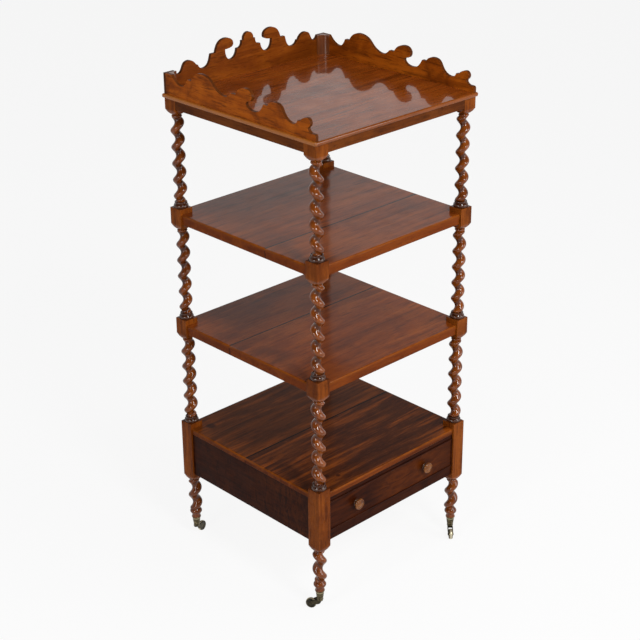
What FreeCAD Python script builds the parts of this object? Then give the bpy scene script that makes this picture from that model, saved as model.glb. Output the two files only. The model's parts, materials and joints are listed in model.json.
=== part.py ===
import FreeCAD, Part
import math
import os
from collections import namedtuple

# Tiered shelf on casters: four rope-turned posts, three open tiers, a case with
# one drawer and a scrolled gallery round the top.
# Millimetres, +Z up, front towards -Y, origin on the floor under the middle.

document = FreeCAD.newDocument("TieredShelf")
sheet = document.addObject("Spreadsheet::Sheet", "Sizes")
Vector = FreeCAD.Vector


class Size:
    """A length that keeps its number together with the sheet expression it comes from."""

    def __init__(self, number, text=None):
        self.number = float(number)
        self.text = text or repr(self.number)

    def join(self, sign, first, second):
        a, b = asSize(first), asSize(second)
        number = {"+": a.number + b.number, "-": a.number - b.number, "*": a.number * b.number}.get(sign)
        if sign == "/":
            number = a.number / b.number
        return Size(number, "(%s %s %s)" % (a.text, sign, b.text))

    def __float__(self):
        return self.number

    def __add__(self, other):
        return self.join("+", self, other)

    def __radd__(self, other):
        return self.join("+", other, self)

    def __sub__(self, other):
        return self.join("-", self, other)

    def __rsub__(self, other):
        return self.join("-", other, self)

    def __mul__(self, other):
        return self.join("*", self, other)

    def __rmul__(self, other):
        return self.join("*", other, self)

    def __truediv__(self, other):
        return self.join("/", self, other)

    def __neg__(self):
        return self.join("-", 0, self)


def asSize(value):
    return value if isinstance(value, Size) else Size(value)


def cell(name, number):
    """Writes one named number into the sheet and hands it back as a Size."""
    cell.row += 1
    sheet.set("A%d" % cell.row, name)
    sheet.set("B%d" % cell.row, str(number))
    sheet.setAlias("B%d" % cell.row, name)
    return Size(number, "Sizes." + name)


cell.row = 0

# Plan over the square post blocks
width = cell("width", 510)
depth = cell("depth", 504)
postSquare = cell("postSquare", 37)
arris = cell("arris", 1)

# Heights of the surfaces above the floor
caseBottom = cell("caseBottom", 195)
caseHeight = cell("caseHeight", 131)
tierPitch = cell("tierPitch", 290)
topPitch = cell("topPitch", 292)

# Boards
shelfThickness = cell("shelfThickness", 25)
caseTopThickness = cell("caseTopThickness", 14)
topThickness = cell("topThickness", 10)
topOverhang = cell("topOverhang", 5)
topEdgeRound = cell("topEdgeRound", 4)
topCornerRound = cell("topCornerRound", 4)
shelfInset = cell("shelfInset", 3.5)
shelfUpperRound = cell("shelfUpperRound", 4)
shelfLowerRound = cell("shelfLowerRound", 1.5)
nosingHeight = cell("nosingHeight", 10.5)
nosingProud = cell("nosingProud", 1.3)
secondSeam = cell("secondSeam", -79)
thirdSeam = cell("thirdSeam", 57)
caseTopSeam = cell("caseTopSeam", 12)

# Post blocks beyond the boards that they carry
blockRise = cell("blockRise", 13)
blockDrop = cell("blockDrop", 4)
legBlockDrop = cell("legBlockDrop", 12)
caseBlockRise = cell("caseBlockRise", 14)
topBlockDrop = cell("topBlockDrop", 5)

# Turned shoulder, collar and base of every post section
shoulderHeight = cell("shoulderHeight", 14)
neckRadius = cell("neckRadius", 10.5)
neckHeight = cell("neckHeight", 4)
neckStepRadius = cell("neckStepRadius", 14.2)
collarHeight = cell("collarHeight", 4.5)
collarRadius = cell("collarRadius", 12.4)
baseTorusHeight = cell("baseTorusHeight", 8)
baseTorusRadius = cell("baseTorusRadius", 18)
baseCoveHeight = cell("baseCoveHeight", 2.5)
baseCoveRadius = cell("baseCoveRadius", 14)
baseRingHeight = cell("baseRingHeight", 4.5)
baseRingRadius = cell("baseRingRadius", 15.4)
dowelRadius = cell("dowelRadius", 7)
dowelLength = cell("dowelLength", 12)
dowelClearance = cell("dowelClearance", 0.1)

# Rope turning: an oval section set off the axis and carried round it
ropePitch = cell("ropePitch", 41.4)
ropeOffset = cell("ropeOffset", 5)
ropeRadial = cell("ropeRadial", 12.3)
ropeTangential = cell("ropeTangential", 15.8)
ropeEndRadius = cell("ropeEndRadius", 10.5)
ropeFade = cell("ropeFade", 7)
ropeSeat = cell("ropeSeat", 0.6)

# Foot under the rope of each leg
footTorusHeight = cell("footTorusHeight", 13)
footTorusRadius = cell("footTorusRadius", 15.5)
footRingHeight = cell("footRingHeight", 11)
footRingRadius = cell("footRingRadius", 12)

# Case round the drawer
caseInset = cell("caseInset", 4.5)
sideThickness = cell("sideThickness", 12)
backThickness = cell("backThickness", 10)
housing = cell("housing", 8)
railDepth = cell("railDepth", 40)
bottomRailHeight = cell("bottomRailHeight", 25)
topRailHeight = cell("topRailHeight", 10)
tenonShoulder = cell("tenonShoulder", 4)
tenonDepth = cell("tenonDepth", 20)
topTenonShoulder = cell("topTenonShoulder", 1.5)
runnerReach = cell("runnerReach", 13)
runnerHeight = cell("runnerHeight", 14)
guideHeight = cell("guideHeight", 12)
stopWidth = cell("stopWidth", 30)
stopDepth = cell("stopDepth", 12)
stopHeight = cell("stopHeight", 4.5)
stopOffset = cell("stopOffset", 115)

# Drawer
drawerGap = cell("drawerGap", 1)
runningGap = cell("runningGap", 0.3)
frontThickness = cell("frontThickness", 18)
beadWidth = cell("beadWidth", 3.2)
beadDepth = cell("beadDepth", 10)
beadProud = cell("beadProud", 2)
drawerSideThickness = cell("drawerSideThickness", 9)
drawerSideDrop = cell("drawerSideDrop", 8.7)
drawerLap = cell("drawerLap", 7)
drawerRearGap = cell("drawerRearGap", 8)
bottomThickness = cell("bottomThickness", 5)
bottomRise = cell("bottomRise", 8)
bottomGroove = cell("bottomGroove", 5)
drawerBackDrop = cell("drawerBackDrop", 4)
drawerBackHousing = cell("drawerBackHousing", 4)
leftKnobPlace = cell("leftKnobPlace", -127)
rightKnobPlace = cell("rightKnobPlace", 115)
knobRadius = cell("knobRadius", 14)
knobReach = cell("knobReach", 16)
knobWaistRadius = cell("knobWaistRadius", 7)
knobSpigotRadius = cell("knobSpigotRadius", 5)
knobClearance = cell("knobClearance", 0.05)

# Rails under the top
apronHeight = cell("apronHeight", 22)
apronThickness = cell("apronThickness", 18)
apronTenonLength = cell("apronTenonLength", 10)
apronTenonShoulder = cell("apronTenonShoulder", 3)

# Gallery
galleryThickness = cell("galleryThickness", 8)
galleryHousing = cell("galleryHousing", 3)
galleryCorner = cell("galleryCorner", 49)
sideGalleryRise = cell("sideGalleryRise", 71)
backGalleryRise = cell("backGalleryRise", 99)
cornerBlockLeg = cell("cornerBlockLeg", 22)
cornerBlockEdge = cell("cornerBlockEdge", 3)

# Casters
wheelRadius = cell("wheelRadius", 13.5)
wheelWidth = cell("wheelWidth", 9)
wheelCrown = cell("wheelCrown", 0.8)
wheelTrail = cell("wheelTrail", 22.5)
axleRadius = cell("axleRadius", 2)
axleClearance = cell("axleClearance", 0.05)
cheekGap = cell("cheekGap", 0.5)
cheekThickness = cell("cheekThickness", 1.8)
hubRadius = cell("hubRadius", 4.2)
rivetRadius = cell("rivetRadius", 2.8)
rivetHeight = cell("rivetHeight", 0.7)
cupBottom = cell("cupBottom", 28)
cupHeight = cell("cupHeight", 28)
cupTopRadius = cell("cupTopRadius", 11)
cupBottomRadius = cell("cupBottomRadius", 7.4)
cupLip = cell("cupLip", 0.9)
cupWall = cell("cupWall", 1.3)
cupFloor = cell("cupFloor", 3)
pegClearance = cell("pegClearance", 0.1)
pegRise = cell("pegRise", 7)
swivelGap = cell("swivelGap", 0.3)
swivelPlate = cell("swivelPlate", 2.5)
swivelPlateRadius = cell("swivelPlateRadius", 7)
stemRadius = cell("stemRadius", 3)
stemClearance = cell("stemClearance", 0.08)
stemHeadRadius = cell("stemHeadRadius", 4.6)
stemHeadHeight = cell("stemHeadHeight", 1.7)

# Planes and levels that the pieces share
halfWidth = width / 2
halfDepth = depth / 2
postX = halfWidth - postSquare / 2
postY = halfDepth - postSquare / 2
openX = halfWidth - postSquare
openY = halfDepth - postSquare
caseTop = caseBottom + caseHeight
thirdTop = caseTop + tierPitch
secondTop = thirdTop + tierPitch
topSurface = secondTop + topPitch
underTop = topSurface - topThickness
underCaseTop = caseTop - caseTopThickness
frontFace = caseInset - halfDepth
backFace = halfDepth - caseInset
backInner = backFace - backThickness
sideOuter = halfWidth - caseInset
sideInner = sideOuter - sideThickness
drawerFloor = caseBottom + bottomRailHeight
drawerCeiling = underCaseTop - topRailHeight
railBack = frontFace + railDepth
cupTop = cupBottom + cupHeight

pieces = []


def bind(feature, place, value):
    feature.setExpression(place, asSize(value).text)


def piece(feature, name):
    """Marks a finished feature as one piece of the shelf."""
    feature.Label = name
    pieces.append(feature)
    return feature


def box(name, x, y, z):
    """A block between a pair of limits along each axis."""
    block = document.addObject("Part::Box", name)
    for size, axis, limits in (("Length", "x", x), ("Width", "y", y), ("Height", "z", z)):
        bind(block, size, asSize(limits[1]) - limits[0])
        bind(block, "Placement.Base." + axis, limits[0])
    return block


def cylinder(name, radius, low, high):
    """A round bar on the Z axis."""
    bar = document.addObject("Part::Cylinder", name)
    bind(bar, "Radius", radius)
    bind(bar, "Height", asSize(high) - low)
    bind(bar, "Placement.Base.z", low)
    return bar


def cut(name, base, *tools):
    result = document.addObject("Part::Cut", name)
    result.Base = base
    result.Tool = tools[0] if len(tools) == 1 else compound(name + "Tools", *tools)
    result.Refine = False
    return result


def fuse(name, *parts):
    result = document.addObject("Part::MultiFuse", name)
    result.Shapes = list(parts)
    result.Refine = False
    return result


def common(name, first, second):
    result = document.addObject("Part::Common", name)
    result.Base = first
    result.Tool = second
    result.Refine = False
    return result


def compound(name, *parts):
    result = document.addObject("Part::Compound", name)
    result.Links = list(parts)
    return result


def mirror(name, source, normal):
    result = document.addObject("Part::Mirroring", name)
    result.Source = source
    result.Base = Vector(0, 0, 0)
    result.Normal = normal
    return result


def rounded(name, base, *rounds):
    """Rounds the edges that each test picks, by the radius given with it."""
    document.recompute()
    result = document.addObject("Part::Fillet", name)
    result.Base = base
    edges = []
    for radius, test in rounds:
        for number, edge in enumerate(base.Shape.Edges, start=1):
            if test(edge.BoundBox):
                edges.append((number, float(radius), float(radius)))
    result.Edges = edges
    return result


def near(first, second):
    return abs(float(first) - float(second)) < 1e-4


class Pen:
    """Draws an outline of straight, round and flowing stretches, end to end."""

    def __init__(self, across, up):
        self.first = self.last = Vector(float(across), float(up), 0)
        self.strokes = []

    def line(self, across, up):
        end = Vector(float(across), float(up), 0)
        self.strokes.append(Part.LineSegment(self.last, end))
        self.last = end
        return self

    def arc(self, viaAcross, viaUp, across, up):
        via = Vector(float(viaAcross), float(viaUp), 0)
        end = Vector(float(across), float(up), 0)
        self.strokes.append(Part.Arc(self.last, via, end))
        self.last = end
        return self

    def curve(self, *points):
        through = [self.last] + [Vector(float(across), float(up), 0) for across, up in points]
        flowing = Part.BSplineCurve()
        flowing.interpolate(through)
        self.strokes.append(flowing)
        self.last = through[-1]
        return self

    def close(self):
        return self.line(self.first.x, self.first.y)


upright = FreeCAD.Rotation(Vector(1, 0, 0), 90)
sideways = FreeCAD.Rotation(Vector(1, 1, 1), 120)


def outline(name, pen, rotation=upright):
    """A sketch standing in the XZ plane, or in the YZ plane when turned sideways."""
    sketch = document.addObject("Sketcher::SketchObject", name)
    sketch.Placement = FreeCAD.Placement(Vector(0, 0, 0), rotation)
    sketch.addGeometry(pen.strokes, False)
    return sketch


def turned(name, pen):
    """A solid turned about the Z axis from a half outline."""
    solid = document.addObject("Part::Revolution", name)
    solid.Source = outline(name + "Outline", pen.close())
    solid.Axis = Vector(0, 0, 1)
    solid.Angle = 360
    solid.Solid = True
    return solid


def sawn(name, pen, direction, thickness, rotation=upright):
    """A board sawn to an outline, its thickness running along the direction."""
    board = document.addObject("Part::Extrusion", name)
    board.Base = outline(name + "Outline", pen.close(), rotation)
    board.DirMode = "Custom"
    board.Dir = direction
    bind(board, "LengthFwd", thickness)
    board.Solid = True
    return board


def bodyTurned(name, pen):
    """A PartDesign body turned about the Z axis from a half outline."""
    body = document.addObject("PartDesign::Body", name)
    sketch = body.newObject("Sketcher::SketchObject", name + "Outline")
    plane = [item for item in body.Origin.OriginFeatures if item.Role == "XZ_Plane"][0]
    sketch.AttachmentSupport = (plane, "")
    sketch.MapMode = "FlatFace"
    sketch.addGeometry(pen.close().strokes, False)
    turning = body.newObject("PartDesign::Revolution", name + "Turning")
    turning.Profile = sketch
    turning.ReferenceAxis = (sketch, ["V_Axis"])
    turning.Angle = 360
    sketch.Visibility = False
    return body


def standOff(step):
    """How far out the poles of a round spline stand when they are one step of angle apart."""
    return 3 / (2 + math.cos(step))


def rope(name, low, high, start, hand):
    """The twisted length of a post: one oval set off the axis, carried round it.

    It starts at an angle in degrees; hand is 1 for a right-hand twist, -1 for a left-hand one.
    """
    bottom, top = float(low), float(high)
    turns = (top - bottom) / float(ropePitch)
    rows = max(8, int(round(12 * turns)))
    around = 12
    spreadUp = standOff(2 * math.pi * turns / rows)
    spread = standOff(2 * math.pi / around) * spreadUp
    poles = []
    for place in range(around):
        angle = 2 * math.pi * place / around
        line = []
        for row in range(rows + 1):
            z = bottom + (top - bottom) * row / rows
            fade = min(1.0, min(z - bottom, top - z) / float(ropeFade))
            swell = math.sin(fade * math.pi / 2)
            radial = float(ropeEndRadius) + float(ropeRadial - ropeEndRadius) * swell
            tangential = float(ropeEndRadius) + float(ropeTangential - ropeEndRadius) * swell
            out = float(ropeOffset) * swell * spreadUp + radial * spread * math.cos(angle)
            along = tangential * spread * math.sin(angle)
            twist = math.radians(start) + hand * 2 * math.pi * (z - bottom) / float(ropePitch)
            x = out * math.cos(twist) - along * math.sin(twist)
            y = out * math.sin(twist) + along * math.cos(twist)
            line.append(Vector(x, y, z))
        poles.append(line)
    surface = Part.BSplineSurface()
    knots = [float(number) for number in range(rows - 1)]
    counts = [4] + [1] * (rows - 3) + [4]
    roundKnots = [float(number) for number in range(around + 1)]
    surface.buildFromPolesMultsKnots(
        poles, [1] * (around + 1), counts, roundKnots, knots, True, False, 3, 3)
    lengths = max(1, round(turns))
    joins = [float(round(knots[-1] * number / lengths)) for number in range(lengths + 1)]
    skin = [surface.toShape(0.0, float(around), low, high) for low, high in zip(joins, joins[1:])]
    for face, level in ((skin[0], bottom), (skin[-1], top)):
        for edge in face.Edges:
            if edge.isClosed() and near(edge.BoundBox.ZMin, level) and near(edge.BoundBox.ZMax, level):
                skin.append(Part.Face(Part.Wire([edge])))
    shell = Part.makeShell(skin)
    shell.sewShape()
    solid = Part.makeSolid(shell)
    if solid.Volume < 0:
        solid.reverse()
    feature = document.addObject("Part::Feature", name)
    feature.Shape = solid
    return feature


def shoulderedBlock(name, bottom, top):
    """A square block on the Z axis, its lower end rounded down to a step and a neck."""
    half = postSquare / 2
    low = bottom - shoulderHeight
    blank = box(name + "Blank", (-half, half), (-half, half), (low, top))
    eased = rounded(
        name + "Eased", blank,
        (arris, lambda bound: bound.ZLength > 1 or near(bound.ZMin, top)))
    reach = float(half) * math.sqrt(2) + 1
    step = float(low + neckHeight)
    drop = float(bottom) - step
    pen = Pen(0, low)
    pen.line(neckRadius, low)
    pen.arc(neckRadius + 0.7, low + neckHeight * 0.6, neckStepRadius - 1.2, step)
    pen.line(neckStepRadius, step)
    pen.arc(reach - drop * 0.42, step + drop * 0.37, reach, bottom)
    pen.line(reach, top + 1)
    pen.line(0, top + 1)
    return common(name, eased, turned(name + "Turning", pen))


def collar(name, top):
    """The round bead just under a shoulder, its core running into the rope and the block."""
    low = top - collarHeight
    inner = collarRadius - 1.1
    core = neckRadius / 2
    pen = Pen(0, low - core)
    pen.line(core, low - core)
    pen.line(core, low)
    pen.line(inner, low)
    pen.arc(collarRadius, top - collarHeight / 2, inner, top)
    pen.line(core, top)
    pen.line(core, top + core)
    pen.line(0, top + core)
    return turned(name, pen)


def turnedBase(name, bottom):
    """Torus, cove and ring on top of a block, with a dowel below them."""
    coveFoot = bottom + baseTorusHeight
    coveHead = coveFoot + baseCoveHeight
    ringHead = coveHead + baseRingHeight
    shoulder = baseTorusRadius - 1.6
    pen = Pen(0, bottom - dowelLength)
    pen.line(dowelRadius, bottom - dowelLength)
    pen.line(dowelRadius, bottom)
    pen.line(shoulder, bottom)
    pen.arc(baseTorusRadius, bottom + baseTorusHeight / 2, shoulder, coveFoot)
    pen.line(baseCoveRadius + 0.8, coveFoot)
    pen.arc(baseCoveRadius, coveFoot + baseCoveHeight / 2, baseCoveRadius + 0.4, coveHead)
    pen.arc(baseRingRadius, coveHead + baseRingHeight / 2, baseRingRadius - 1.6, ringHead)
    pen.line(0, ringHead)
    return turned(name, pen)


def atCorner(feature, corner):
    bind(feature, "Placement.Base.x", corner.sideX * postX)
    bind(feature, "Placement.Base.y", corner.sideY * postY)
    return feature


def dowelHole(name, top):
    return cylinder(name, dowelRadius + dowelClearance, top - dowelLength - dowelClearance, top)


def postSection(name, corner, bottom, blockBottom, blockTop, start, bored):
    """One section between two blocks: base, rope, collar and its own upper block."""
    ropeLow = bottom + baseTorusHeight + baseCoveHeight + baseRingHeight - ropeSeat
    ropeHigh = blockBottom - shoulderHeight - collarHeight + ropeSeat
    whole = fuse(
        name + "Whole",
        turnedBase(name + "Base", bottom),
        rope(name + "Rope", ropeLow, ropeHigh, start, corner.hand),
        collar(name + "Collar", blockBottom - shoulderHeight),
        shoulderedBlock(name + "Block", blockBottom, blockTop))
    if bored:
        whole = cut(name + "Bored", whole, dowelHole(name + "DowelHole", blockTop))
    return atCorner(whole, corner)


def legSection(name, corner, blockBottom, blockTop, start):
    """The foot below the case, the case block, and the peg inside the caster cup."""
    ringTop = cupTop + footRingHeight
    torusTop = ringTop + footTorusHeight
    pegLow = cupBottom + pegRise
    pen = Pen(0, pegLow)
    pen.line(cupRadiusAt(pegLow) - cupWall - pegClearance, pegLow)
    pen.line(cupRadiusAt(cupTop) - cupWall - pegClearance, cupTop)
    pen.line(footRingRadius, cupTop)
    pen.arc(footRingRadius - 1.3, cupTop + footRingHeight / 2, footRingRadius, ringTop)
    pen.arc(footTorusRadius, ringTop + footTorusHeight / 2, footTorusRadius - 4, torusTop)
    pen.line(0, torusTop)
    foot = turned(name + "Foot", pen)
    ropeHigh = blockBottom - shoulderHeight - collarHeight + ropeSeat
    whole = fuse(
        name + "Whole",
        foot,
        rope(name + "Rope", torusTop - ropeSeat, ropeHigh, start, corner.hand),
        collar(name + "Collar", blockBottom - shoulderHeight),
        shoulderedBlock(name + "Block", blockBottom, blockTop))
    return atCorner(cut(name + "Bored", whole, dowelHole(name + "DowelHole", blockTop)), corner)


def cupRadiusAt(level):
    """Outer radius of the tapered caster cup at a level."""
    share = (float(level) - float(cupBottom)) / float(cupHeight)
    return Size(float(cupBottomRadius) + float(cupTopRadius - cupBottomRadius) * share)


alongX = Vector(1, 0, 0)
alongY = Vector(0, 1, 0)
alongZ = Vector(0, 0, 1)


# The corners: which side each is on, the hand of its rope, where each of its four
# ropes starts (leg, lower, middle, upper) and where its caster trails, in degrees

Corner = namedtuple("Corner", "name label sideX sideY hand starts heading")
corners = (
    Corner("FrontLeft", "front_left", -1, -1, -1, (90, 52, -14, 16), 118.6),
    Corner("FrontRight", "front_right", 1, -1, 1, (110, 209, 197, 149), 227.0),
    Corner("BackLeft", "back_left", -1, 1, 1, (200, 29, 29, 14), 15.7),
    Corner("BackRight", "back_right", 1, 1, -1, (270, 240, 154, 154), 75.0))

# Case pieces that are let into the legs

def bothSides(limits):
    return (-limits[1], -limits[0])


sidePanelX = (sideInner, sideOuter)
sidePanelY = (-openY - housing, openY + housing)
caseZ = (caseBottom, underCaseTop)
rightSide = piece(box("RightCaseSide", sidePanelX, sidePanelY, caseZ), "right_case_side")
leftSide = piece(box("LeftCaseSide", bothSides(sidePanelX), sidePanelY, caseZ), "left_case_side")
backPanel = piece(
    box("CaseBack", (-openX - housing, openX + housing), (backInner, backFace), caseZ), "case_back")


def caseRail(name, low, high, shoulder):
    """A front rail with a stub tenon at each end, and the tenons by themselves."""
    tenonY = (frontFace + tenonShoulder, frontFace + tenonShoulder + tenonDepth)
    tenonX = (-openX - housing, openX + housing)
    tenon = box(name + "Tenon", tenonX, tenonY, (low + shoulder, high - shoulder))
    bar = box(name + "Bar", (-openX, openX), (frontFace, railBack), (low, high))
    return fuse(name, bar, tenon), tenon


drawerRail, drawerRailTenon = caseRail("DrawerRail", caseBottom, drawerFloor, tenonShoulder)
caseTopRail, caseTopRailTenon = caseRail("CaseTopRail", drawerCeiling, underCaseTop, topTenonShoulder)
piece(drawerRail, "drawer_rail")
piece(caseTopRail, "case_top_rail")

# Rails under the top, tenoned into the top blocks

apronLow = underTop - apronHeight


def apron(name, alongWidth, side):
    """One rail, flush with the outer faces of the blocks."""
    half = halfDepth if alongWidth else halfWidth
    free = openX if alongWidth else openY
    outer = side * half
    inner = outer - side * apronThickness
    across = (inner, outer) if side > 0 else (outer, inner)
    tenonAcross = (across[0] + apronTenonShoulder, across[1] - apronTenonShoulder)
    reach = free + apronTenonLength
    barZ = (apronLow, underTop)
    tenonZ = (apronLow + apronTenonShoulder, underTop - apronTenonShoulder)
    if alongWidth:
        bar = box(name + "Bar", (-free, free), across, barZ)
        tenon = box(name + "Tenon", (-reach, reach), tenonAcross, tenonZ)
    else:
        bar = box(name + "Bar", across, (-free, free), barZ)
        tenon = box(name + "Tenon", tenonAcross, (-reach, reach), tenonZ)
    return fuse(name, bar, tenon), tenon


frontApron, frontTenon = apron("FrontApron", True, -1)
backApron, backTenon = apron("BackApron", True, 1)
leftApron, leftTenon = apron("LeftApron", False, -1)
rightApron, rightTenon = apron("RightApron", False, 1)
piece(frontApron, "front_apron")
piece(backApron, "back_apron")
piece(leftApron, "left_apron")
piece(rightApron, "right_apron")

# Posts: four sections one above the other at each corner, cut for what is let into them

for corner in corners:
    sidePanel = rightSide if corner.sideX > 0 else leftSide
    sideTenon = rightTenon if corner.sideX > 0 else leftTenon
    inLeg = [sidePanel] + ([backPanel] if corner.sideY > 0 else [drawerRailTenon, caseTopRailTenon])
    inTop = [sideTenon, backTenon if corner.sideY > 0 else frontTenon]
    legBase = legSection(
        corner.name + "Leg", corner, caseBottom - legBlockDrop, caseTop + caseBlockRise,
        corner.starts[0])
    lower = postSection(
        corner.name + "Lower", corner, caseTop + caseBlockRise,
        thirdTop - shelfThickness - blockDrop, thirdTop + blockRise, corner.starts[1], True)
    middle = postSection(
        corner.name + "Middle", corner, thirdTop + blockRise,
        secondTop - shelfThickness - blockDrop, secondTop + blockRise, corner.starts[2], True)
    upper = postSection(
        corner.name + "Upper", corner, secondTop + blockRise, apronLow - topBlockDrop,
        underTop, corner.starts[3], False)
    piece(cut(corner.name + "LegJointed", legBase, *inLeg), corner.label + "_leg")
    piece(lower, corner.label + "_lower_post")
    piece(middle, corner.label + "_middle_post")
    piece(cut(corner.name + "UpperJointed", upper, *inTop), corner.label + "_upper_post")

# Shelf boards, two to a tier, notched round the post blocks


def shelfBoard(name, label, top, thickness, front, back, side, nosing):
    """One board of a tier: side is -1 for the front board and 1 for the rear one.

    The nosing is how far the upper part of the edge stands out past the lower part.
    """
    reach = halfWidth - shelfInset
    low = top - thickness
    lowReach = reach - nosing
    edge = back if side > 0 else front
    lowFront, lowBack = (front, back - nosing) if side > 0 else (front + nosing, back)
    upper = box(name + "Upper", (-reach, reach), (front, back), (top - nosingHeight, top))
    lower = box(name + "Lower", (-lowReach, lowReach), (lowFront, lowBack), (low, top - nosingHeight))
    notchY = (openY, halfDepth) if side > 0 else (-halfDepth, -openY)
    notches = [
        box(name + "LeftNotch", (-halfWidth, -openX), notchY, (low, top)),
        box(name + "RightNotch", (openX, halfWidth), notchY, (low, top))]
    notched = cut(name + "Notched", fuse(name + "Whole", upper, lower), *notches)

    def outside(bound, level, inset):
        flat = near(bound.ZMin, level) and near(bound.ZMax, level)
        ends = near(bound.XMin, bound.XMax) and near(abs(bound.XMin), reach - inset)
        face = near(bound.YMin, bound.YMax) and near(bound.YMin, edge - side * inset)
        return flat and (ends or face)

    return piece(rounded(
        name, notched,
        (shelfUpperRound, lambda bound: outside(bound, top, 0)),
        (shelfLowerRound, lambda bound: outside(bound, low, nosing))), label)


shelfEdge = halfDepth - shelfInset
for name, label, top, thickness, seam, nosing in (
        ("SecondShelf", "second_shelf", secondTop, shelfThickness, secondSeam, nosingProud),
        ("ThirdShelf", "third_shelf", thirdTop, shelfThickness, thirdSeam, nosingProud),
        ("CaseTop", "case_top", caseTop, caseTopThickness, caseTopSeam, Size(0))):
    shelfBoard(name + "Front", label + "_front_board", top, thickness, -shelfEdge, seam, -1, nosing)
    shelfBoard(name + "Rear", label + "_rear_board", top, thickness, seam, shelfEdge, 1, nosing)

# Gallery: two side boards, a back board and a coved block in each rear corner


def scroll(reach, rise):
    """Turns shares of a board's reach along the edge and of its rise above the top into places."""
    return lambda across, above: (across * float(reach), float(topSurface) + above * float(rise))


galleryFoot = topSurface - galleryHousing
galleryCornerTop = topSurface + galleryCorner


def sideGalleryPen():
    """Scrolled outline of a side board, from its front toe to the rear corner."""
    at = scroll(halfDepth, sideGalleryRise)
    toe = at(-1.0024, 0.113)
    pen = Pen(toe[0], galleryFoot)
    pen.line(*toe)
    pen.arc(*at(-0.998, 0.183), *at(-0.987, 0.211))
    pen.line(*at(-0.948, 0.211))
    pen.curve(at(-0.921, 0.254), at(-0.909, 0.317), at(-0.917, 0.387))
    pen.arc(*at(-0.937, 0.513), *at(-0.897, 0.654))
    pen.curve(at(-0.857, 0.62), at(-0.825, 0.549))
    pen.line(*at(-0.813, 0.493))
    pen.line(*at(-0.782, 0.493))
    pen.curve(at(-0.754, 0.373), at(-0.714, 0.342), at(-0.655, 0.394), at(-0.611, 0.535),
              at(-0.567, 0.761), at(-0.508, 0.824), at(-0.444, 0.775), at(-0.409, 0.648))
    pen.line(*at(-0.357, 0.648))
    pen.curve(at(-0.329, 0.493), at(-0.294, 0.38), at(-0.23, 0.331), at(-0.167, 0.366),
              at(-0.131, 0.479), at(-0.159, 0.599))
    pen.curve(at(-0.198, 0.648), at(-0.21, 0.789), at(-0.183, 0.93), at(-0.131, 0.979),
              at(-0.056, 0.915), at(-0.012, 0.789), at(0.004, 0.69))
    pen.line(*at(0.067, 0.69))
    pen.curve(at(0.107, 0.57), at(0.159, 0.514), at(0.226, 0.563), at(0.282, 0.676),
              at(0.341, 0.873), at(0.437, 1), at(0.532, 0.958), at(0.583, 0.817), at(0.607, 0.686))
    pen.line(*at(0.663, 0.686))
    pen.curve(at(0.687, 0.535), at(0.718, 0.43), at(0.762, 0.403), at(0.825, 0.479),
              (at(0.889, 0)[0], galleryCornerTop))
    pen.line(halfDepth - galleryThickness, galleryCornerTop)
    pen.line(halfDepth - galleryThickness, galleryFoot)
    return pen


def halfBackGalleryPen():
    """Scrolled outline of the right half of the back board, from the finial outwards."""
    at = scroll(halfWidth, backGalleryRise)
    pen = Pen(0, galleryFoot)
    pen.line(*at(0, 1))
    pen.arc(*at(0.043, 0.949), *at(0.059, 0.818))
    pen.line(*at(0.082, 0.818))
    pen.curve(at(0.09, 0.712), at(0.114, 0.662))
    pen.line(*at(0.145, 0.657))
    pen.curve(at(0.157, 0.545), at(0.18, 0.47), at(0.22, 0.434), at(0.263, 0.475),
              at(0.286, 0.586), at(0.29, 0.707))
    pen.curve(at(0.235, 0.717), at(0.192, 0.778), at(0.196, 0.879), at(0.235, 0.955),
              at(0.294, 0.975), at(0.357, 0.909), at(0.392, 0.778), at(0.404, 0.677))
    pen.line(*at(0.459, 0.677))
    pen.curve(at(0.475, 0.545), at(0.498, 0.439), at(0.549, 0.384), at(0.596, 0.414), at(0.62, 0.5))
    pen.line(*at(0.639, 0.5))
    pen.curve(at(0.667, 0.596), at(0.725, 0.654), at(0.776, 0.606), at(0.8, 0.495),
              at(0.824, 0.414), at(0.851, 0.394))
    pen.curve(at(0.871, 0.419), (at(0.89, 0)[0], galleryCornerTop))
    pen.line(halfWidth, galleryCornerTop)
    pen.line(halfWidth, galleryFoot)
    return pen


leftGallery = sawn(
    "LeftGallery", sideGalleryPen(), alongX, galleryThickness, sideways)
bind(leftGallery, "Placement.Base.x", -halfWidth)
rightGallery = mirror("RightGallery", leftGallery, alongX)
halfBack = sawn("HalfBackGallery", halfBackGalleryPen(), -alongY, galleryThickness)
bind(halfBack, "Placement.Base.y", halfDepth)
backGallery = fuse("BackGallery", halfBack, mirror("OtherHalfBackGallery", halfBack, alongX))
backGallery.Refine = True

cornerX = halfWidth - galleryThickness
cornerY = halfDepth - galleryThickness
bend = float(cornerBlockLeg) * 0.42
pen = Pen(-cornerX, cornerY)
pen.line(cornerBlockLeg - cornerX, cornerY)
pen.line(cornerBlockLeg - cornerX, cornerY - cornerBlockEdge)
pen.arc(bend - cornerX, cornerY - bend, cornerBlockEdge - cornerX, cornerY - cornerBlockLeg)
pen.line(-cornerX, cornerY - cornerBlockLeg)
leftCorner = sawn(
    "LeftCornerBlock", pen, alongZ, galleryCorner + galleryHousing, FreeCAD.Rotation())
bind(leftCorner, "Placement.Base.z", galleryFoot)
rightCorner = mirror("RightCornerBlock", leftCorner, alongX)

galleryParts = (
    (leftGallery, "left_gallery"), (rightGallery, "right_gallery"), (backGallery, "back_gallery"),
    (leftCorner, "left_gallery_block"), (rightCorner, "right_gallery_block"))
for feature, label in galleryParts:
    piece(feature, label)

# Top board with a rounded edge, housed for the gallery

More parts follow.
